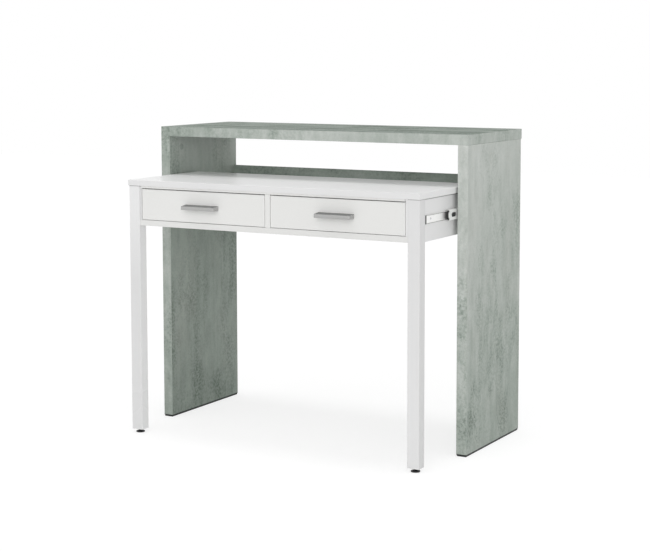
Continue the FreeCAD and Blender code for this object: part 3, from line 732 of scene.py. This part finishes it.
def add_turned(mesh, rings, turn):
    """Adds a closed shape turned about Z: each ring is a height and a radius, plain or by angle."""
    loops = []
    for height, radius in rings:
        loop = []
        for step in range(TURN_STEPS):
            angle = 2 * math.pi * step / TURN_STEPS
            reach = radius(angle) if callable(radius) else radius
            point = Vector((reach * math.cos(angle), reach * math.sin(angle), height))
            loop.append(mesh.verts.new(turn @ point))
        loops.append(loop)
    for lower, upper in zip(loops, loops[1:]):
        for step in range(TURN_STEPS):
            following = (step + 1) % TURN_STEPS
            mesh.faces.new((lower[step], lower[following], upper[following], upper[step]))
    mesh.faces.new(loops[0][::-1])
    mesh.faces.new(loops[-1])


def cross_recess(reach):
    """The outline of a cross recess, as a radius by angle."""
    step = 2 * math.pi / TURN_STEPS
    half_width = reach * math.tan(step)

    def radius(angle):
        """The end of an arm reaches one step to either side, and its flanks lie beyond."""
        off_arm = abs((angle + math.pi / 4) % (math.pi / 2) - math.pi / 4)
        if off_arm < 1.5 * step:
            return reach / math.cos(off_arm)
        return half_width / math.sin(off_arm)

    return radius


def recess_rings(head_radius, depth):
    """The last rings of a screw head: its rim at height 0 and the recess sunk in it."""
    reach = CROSS_REACH * head_radius
    return [(0.0, cross_recess(reach)), (-depth, cross_recess(CROSS_TAPER * reach))]


def countersunk_screw(length, head):
    """A wood screw whose flat head lies at height 0."""
    shank = 0.5 * head
    rings = [
        (-length, 0.1 * shank),
        (4 * shank - length, shank),
        (-1.2 * MM, shank),
        (-0.15 * MM, head),
        (0.0, 0.95 * head),
    ]
    return rings + recess_rings(head, 0.8 * MM)


def pan_head_screw(length, head):
    """A machine screw whose domed head ends at height 0."""
    shank = 0.5 * head
    under_head = -2.5 * MM
    rings = [
        (-length, 0.8 * shank),
        (0.5 * MM - length, shank),
        (under_head, shank),
        (under_head, 0.96 * head),
        (-2.3 * MM, head),
        (-1.3 * MM, head),
        (-0.5 * MM, 0.88 * head),
        (0.0, 0.68 * head),
    ]
    return rings + recess_rings(head, 1.4 * MM)


def cover_cap(length, head):
    """A thin moulded cover with a rounded rim and a dished middle."""
    rim = [(-length, head), (-0.6 * length, head), (-0.2 * length, 0.98 * head), (0.0, 0.94 * head)]
    return rim + [(0.0, 0.86 * head), (-0.25 * length, 0.78 * head), (-0.3 * length, 0.05 * head)]


def ball(length, radius):
    """A round ball that ends at height 0."""
    bands = TURN_STEPS // 2
    rings = []
    for band in range(bands + 1):
        polar = math.pi * (1 - band / bands)
        reach = max(radius * math.sin(polar), 0.01 * radius)
        rings.append((radius * math.cos(polar) - length / 2, reach))
    return rings


def knurled(radius):
    """A rim with a shallow dent at every other step."""
    return lambda angle: radius * (0.985 + 0.015 * math.cos(angle * TURN_STEPS / 2))


def levelling_foot(length, pad):
    """A knurled pad and a screwed stem, from the floor up to height 0."""
    stem = 0.32 * pad
    collar = 0.56 * pad
    pad_top = 3.5 * MM
    collar_top = 5.0 * MM
    outline = [
        (0.0, 0.93 * pad),
        (0.6 * MM, knurled(pad)),
        (2.6 * MM, knurled(pad)),
        (3.2 * MM, 0.955 * pad),
        (pad_top, 0.88 * pad),
        (pad_top, collar),
        (4.7 * MM, collar),
        (collar_top, 0.94 * collar),
        (collar_top, stem),
    ]
    rings = [(height - length, radius) for height, radius in outline]
    height = collar_top + THREAD_START - length
    while height < -2 * THREAD_PITCH:
        rings += [(height, stem), (height + THREAD_PITCH / 2, stem - THREAD_DEPTH)]
        height += THREAD_PITCH
    return rings + [(-THREAD_PITCH, stem), (0.0, 0.8 * stem)]


def turn_again(node_name, body, slot_name, profile, facing):
    """Makes each solid of a node again as a turned shape, whose end looks the way that facing says."""
    mesh = bmesh.new()
    for low, high in loose_boxes(node_name):
        size = high - low
        centre = low + size / 2
        towards = Vector(facing(centre))
        axis = max(range(3), key=lambda index: abs(towards[index]))
        head = max(size[index] for index in range(3) if index != axis) / 2
        end = centre + towards * size[axis] / 2
        turn = Vector((0, 0, 1)).rotation_difference(towards).to_matrix().to_4x4()
        add_turned(mesh, profile(size[axis], head), Matrix.Translation(end) @ turn)
    bmesh.ops.recalc_face_normals(mesh, faces=mesh.faces)
    piece = add_piece(node_name + "_turned", mesh, FINISHES[slot_name], body)
    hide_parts(node_name)


def inwards(centre):
    """Towards the middle of the desk."""
    return (-math.copysign(1.0, centre.x), 0.0, 0.0)


def outwards(centre):
    """Away from the middle of the desk."""
    return (math.copysign(1.0, centre.x), 0.0, 0.0)


def backwards(centre):
    """Towards the rear, from any place."""
    return (0.0, 1.0, 0.0)


def upwards(centre):
    """Straight up, from any place."""
    return (0.0, 0.0, 1.0)


turn_again("slide_outer_screws", "console", "fitting_steel", countersunk_screw, inwards)
turn_again("slide_inner_screws", "desk", "fitting_steel", countersunk_screw, outwards)
turn_again("console_cam_caps", "console", "cap_plastic", cover_cap, inwards)
for side in SIDES:
    turn_again(side + "_drawer_handle_screws", side + "_drawer", "fitting_steel", pan_head_screw, backwards)
    turn_again(side + "_outer_balls", side + "_outer_cage", "ball_steel", ball, upwards)
    turn_again(side + "_inner_balls", side + "_inner_cage", "ball_steel", ball, upwards)
    turn_again(side + "_levelling_foot", side + "_foot", "black_plastic", levelling_foot, upwards)


# Plastic buffer on the front end of each slide's inner member, grey so that it also stands in for the shade
# in the gap beside the leg

BUFFER_LAP = 2.0 * MM
BUFFER_WALL = 0.6 * MM
BUFFER_ROUND = 0.4 * MM


def slide_buffer(side):
    """A grey cap between the leg and the slide, lapped over the slide's end, which also stands in for the
    shade in that gap.
    """
    low, high = (Vector(corner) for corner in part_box(side + "_slide_inner"))
    room = Vector((BUFFER_WALL, 0.0, BUFFER_WALL))
    low -= room
    high += room
    apron_low, apron_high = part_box(side + "_apron")
    if side == "right":
        low.x = max(low.x, apron_high[X])
    else:
        high.x = min(high.x, apron_low[X])
    high.y = low.y + BUFFER_LAP
    low.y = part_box(side + "_leg")[1][Y]
    mesh = bmesh.new()
    bmesh.ops.create_cube(mesh, size=1.0)
    for vertex in mesh.verts:
        vertex.co = Vector([high[axis] if vertex.co[axis] > 0 else low[axis] for axis in range(3)])
    bmesh.ops.bevel(mesh, geom=mesh.edges[:], offset=BUFFER_ROUND, segments=3, profile=0.5, affect="EDGES")
    add_piece(side + "_slide_buffer", mesh, gap_shade_buffer_grey, "desk")


for side in SIDES:
    slide_buffer(side)


# Floor, background and light

WHITE = (1.0, 1.0, 1.0, 1.0)
WORLD_LEVEL = 0.5
FLOOR_HALF = 9.0

# How much light the floor gives back, and the plain white that is mixed in where it is seen
FLOOR_PALE = 0.86
FLOOR_WHITE = 1.19
FLOOR_WHITE_SHARE = 0.61

# Far lights: the direction each comes from, its strength, and its spread in degrees
BROAD = 50.0
NARROW = 16.0
LIGHTS = {
    "front_light": ((0.35, -1.0, 0.28), 1.08, BROAD),
    "right_light": ((1.0, -0.15, 0.25), 0.17, BROAD),
    "high_light": ((0.0, -0.3, 1.0), 0.3, BROAD),
    "top_light": ((0.0, 0.0, 1.0), 0.6, NARROW),
    "rear_light": ((0.6, 1.0, 0.12), 0.4, BROAD),
}


def ray_share(nodes, links, share):
    """The share for rays that show the background: from the camera, off gloss or through glass."""
    path = nodes.new("ShaderNodeLightPath")
    total = path.outputs["Is Camera Ray"]
    for name in ("Is Glossy Ray", "Is Transmission Ray"):
        node = nodes.new("ShaderNodeMath")
        node.operation = "MAXIMUM"
        links.new(total, node.inputs[0])
        links.new(path.outputs[name], node.inputs[1])
        total = node.outputs["Value"]
    scaled = nodes.new("ShaderNodeMath")
    scaled.operation = "MULTIPLY"
    links.new(total, scaled.inputs[0])
    scaled.inputs[1].default_value = share
    return scaled.outputs["Value"]


def make_floor():
    """A pale floor that reads as white but keeps the shadow of the desk."""
    mesh = bpy.data.meshes.new("floor")
    corners = [(-1, -1), (1, -1), (1, 1), (-1, 1)]
    mesh.from_pydata([(x * FLOOR_HALF, y * FLOOR_HALF, 0.0) for x, y in corners], [], [(0, 1, 2, 3)])
    floor = bpy.data.objects.new("floor", mesh)
    bpy.context.scene.collection.objects.link(floor)
    material = bpy.data.materials.new("pale_floor")
    material.use_nodes = True
    nodes, links = material.node_tree.nodes, material.node_tree.links
    nodes.remove(nodes["Principled BSDF"])
    diffuse = nodes.new("ShaderNodeBsdfDiffuse")
    diffuse.inputs["Color"].default_value = (FLOOR_PALE, FLOOR_PALE, FLOOR_PALE, 1.0)
    white = nodes.new("ShaderNodeEmission")
    white.inputs["Strength"].default_value = FLOOR_WHITE
    mix = nodes.new("ShaderNodeMixShader")
    links.new(ray_share(nodes, links, FLOOR_WHITE_SHARE), mix.inputs["Fac"])
    links.new(diffuse.outputs["BSDF"], mix.inputs[1])
    links.new(white.outputs["Emission"], mix.inputs[2])
    links.new(mix.outputs["Shader"], nodes["Material Output"].inputs["Surface"])
    mesh.materials.append(material)


def make_world():
    """Even soft light from all round, with a white background."""
    world = bpy.data.worlds.new("studio")
    bpy.context.scene.world = world
    world.use_nodes = True
    nodes, links = world.node_tree.nodes, world.node_tree.links
    soft = nodes["Background"]
    soft.inputs["Color"].default_value = WHITE
    soft.inputs["Strength"].default_value = WORLD_LEVEL
    white = nodes.new("ShaderNodeBackground")
    white.inputs["Color"].default_value = WHITE
    white.inputs["Strength"].default_value = 1.0
    mix = nodes.new("ShaderNodeMixShader")
    links.new(ray_share(nodes, links, 1.0), mix.inputs["Fac"])
    links.new(soft.outputs["Background"], mix.inputs[1])
    links.new(white.outputs["Background"], mix.inputs[2])
    links.new(mix.outputs["Shader"], nodes["World Output"].inputs["Surface"])


def far_light(name, source, strength, spread):
    """A soft light from far away, from the direction of its source."""
    lamp = bpy.data.lights.new(name, "SUN")
    lamp.energy = strength
    lamp.angle = math.radians(spread)
    light = bpy.data.objects.new(name, lamp)
    light.rotation_euler = (-Vector(source)).to_track_quat("-Z", "Y").to_euler()
    bpy.context.scene.collection.objects.link(light)


make_floor()
make_world()
for light_name, (source, strength, spread) in LIGHTS.items():
    far_light(light_name, source, strength, spread)


# Camera: place in metres, turn and tilt in degrees, and the picture's row that its axis meets
IMAGE_WIDTH = 650
IMAGE_HEIGHT = 551
CAMERA_PLACE = (2.2046, -3.8126, 1.0807)
CAMERA_YAW = 29.779
CAMERA_PITCH = 5.422
CAMERA_ROLL = -0.097
CAMERA_LENS = 86.89
AXIS_ROW = 200.0


def make_camera():
    """Looks at the desk from the front right and from a little above."""
    yaw, pitch, roll = (math.radians(turn) for turn in (CAMERA_YAW, CAMERA_PITCH, CAMERA_ROLL))
    ahead = Vector((-math.sin(yaw) * math.cos(pitch), math.cos(yaw) * math.cos(pitch), -math.sin(pitch)))
    level = Vector((math.cos(yaw), math.sin(yaw), 0.0))
    upright = level.cross(ahead)
    right = math.cos(roll) * level + math.sin(roll) * upright
    up = math.cos(roll) * upright - math.sin(roll) * level
    data = bpy.data.cameras.new("camera")
    data.lens = CAMERA_LENS
    data.shift_y = (AXIS_ROW - IMAGE_HEIGHT / 2) / IMAGE_WIDTH
    camera = bpy.data.objects.new("camera", data)
    turn = Matrix((right, up, -ahead)).transposed().to_4x4()
    camera.matrix_world = Matrix.Translation(CAMERA_PLACE) @ turn
    bpy.context.scene.collection.objects.link(camera)
    bpy.context.scene.camera = camera


make_camera()
bpy.context.scene.view_settings.view_transform = "Standard"
